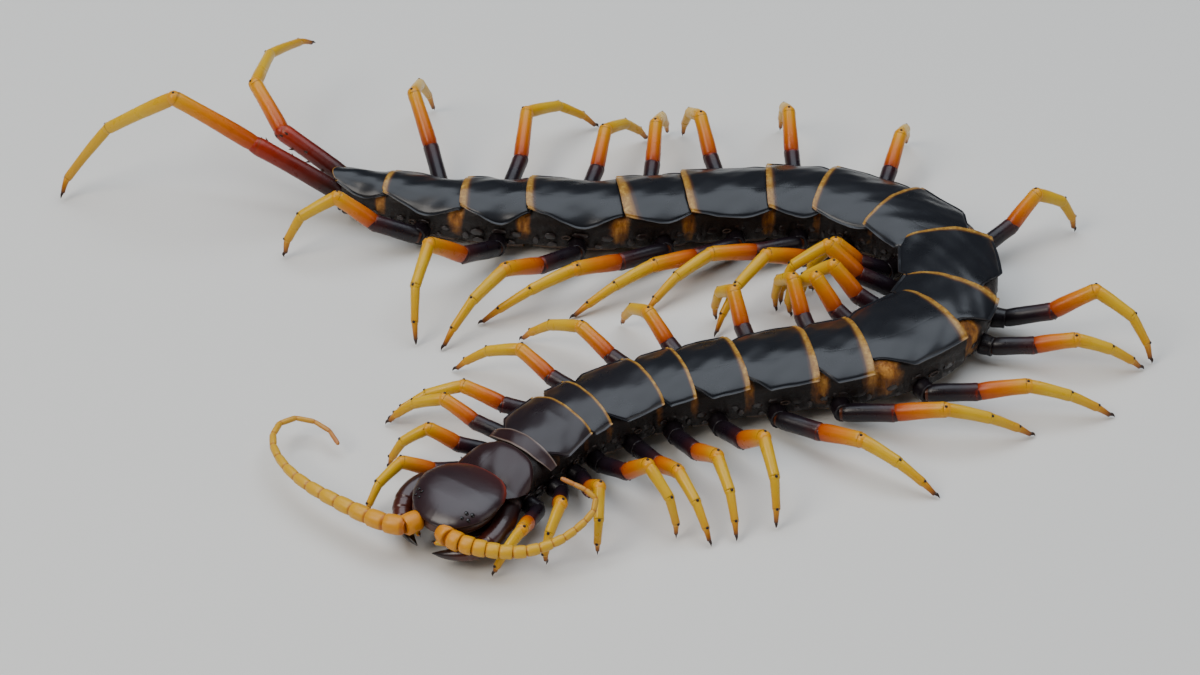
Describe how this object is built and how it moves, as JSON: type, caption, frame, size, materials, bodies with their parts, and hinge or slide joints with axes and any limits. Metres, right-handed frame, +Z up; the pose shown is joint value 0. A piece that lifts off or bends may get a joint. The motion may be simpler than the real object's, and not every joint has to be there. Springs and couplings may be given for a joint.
{
  "type": "giant centipede",
  "caption": "Life-size still centipede at rest in a wide U: glossy dark back plates, orange and yellow jointed legs, curled antennae and raised last legs.",
  "frame": {"origin": "on the floor under the middle of the whole animal's box, legs and antennae included", "axes": "+X along the longest side of the box, from the tail's end of the U towards its bend; +Y away from the picture's viewer, from the head's half of the body to the tail's half; +Z up"},
  "size_m": [0.1458, 0.107, 0.0194],
  "materials": {
    "head_shell": "glossy dark plum shell with a reddish rim",
    "back_shell": "glossy blue-black plates with thin orange-tan rear bands",
    "claw_shell": "glossy dark red-brown shell with black tips",
    "eye_lens": "smooth black lenses",
    "antenna_shell": "satin orange to tan, ringed by its joints",
    "leg_shell": "satin shell, red-orange at the root to yellow, with thin dark joints and black claws",
    "last_leg_shell": "satin shell, dark red at the root to orange and yellow"
  },
  "bodies": {
    "root": {"head": "head_shell", "venom_claw_base": "claw_shell", "venom_claw_left": "claw_shell", "venom_claw_right": "claw_shell", "eyes_left": "eye_lens", "eyes_right": "eye_lens", "antenna_left": "antenna_shell", "antenna_right": "antenna_shell", "segments_1_to_3": "back_shell", "segments_4_to_6": "back_shell", "segments_7_to_9": "back_shell", "segments_10_to_12": "back_shell", "segments_13_to_15": "back_shell", "segments_16_to_18": "back_shell", "segments_19_to_21": "back_shell", "leg_left_1": "leg_shell", "leg_left_2": "leg_shell", "leg_left_3": "leg_shell", "leg_left_4": "leg_shell", "leg_left_5": "leg_shell", "leg_left_6": "leg_shell", "leg_left_7": "leg_shell", "leg_left_8": "leg_shell", "leg_left_9": "leg_shell", "leg_left_10": "leg_shell", "leg_left_11": "leg_shell", "leg_left_12": "leg_shell", "leg_left_13": "leg_shell", "leg_left_14": "leg_shell", "leg_left_15": "leg_shell", "leg_left_16": "leg_shell", "leg_left_17": "leg_shell", "leg_left_18": "leg_shell", "leg_left_19": "leg_shell", "leg_left_20": "leg_shell", "leg_right_1": "leg_shell", "leg_right_2": "leg_shell", "leg_right_3": "leg_shell", "leg_right_4": "leg_shell", "leg_right_5": "leg_shell", "leg_right_6": "leg_shell", "leg_right_7": "leg_shell", "leg_right_8": "leg_shell", "leg_right_9": "leg_shell", "leg_right_10": "leg_shell", "leg_right_11": "leg_shell", "leg_right_12": "leg_shell", "leg_right_13": "leg_shell", "leg_right_14": "leg_shell", "leg_right_15": "leg_shell", "leg_right_16": "leg_shell", "leg_right_17": "leg_shell", "leg_right_18": "leg_shell", "leg_right_19": "leg_shell", "leg_right_20": "leg_shell", "last_leg_left": "last_leg_shell", "last_leg_right": "last_leg_shell"}
  },
  "joints": []
}
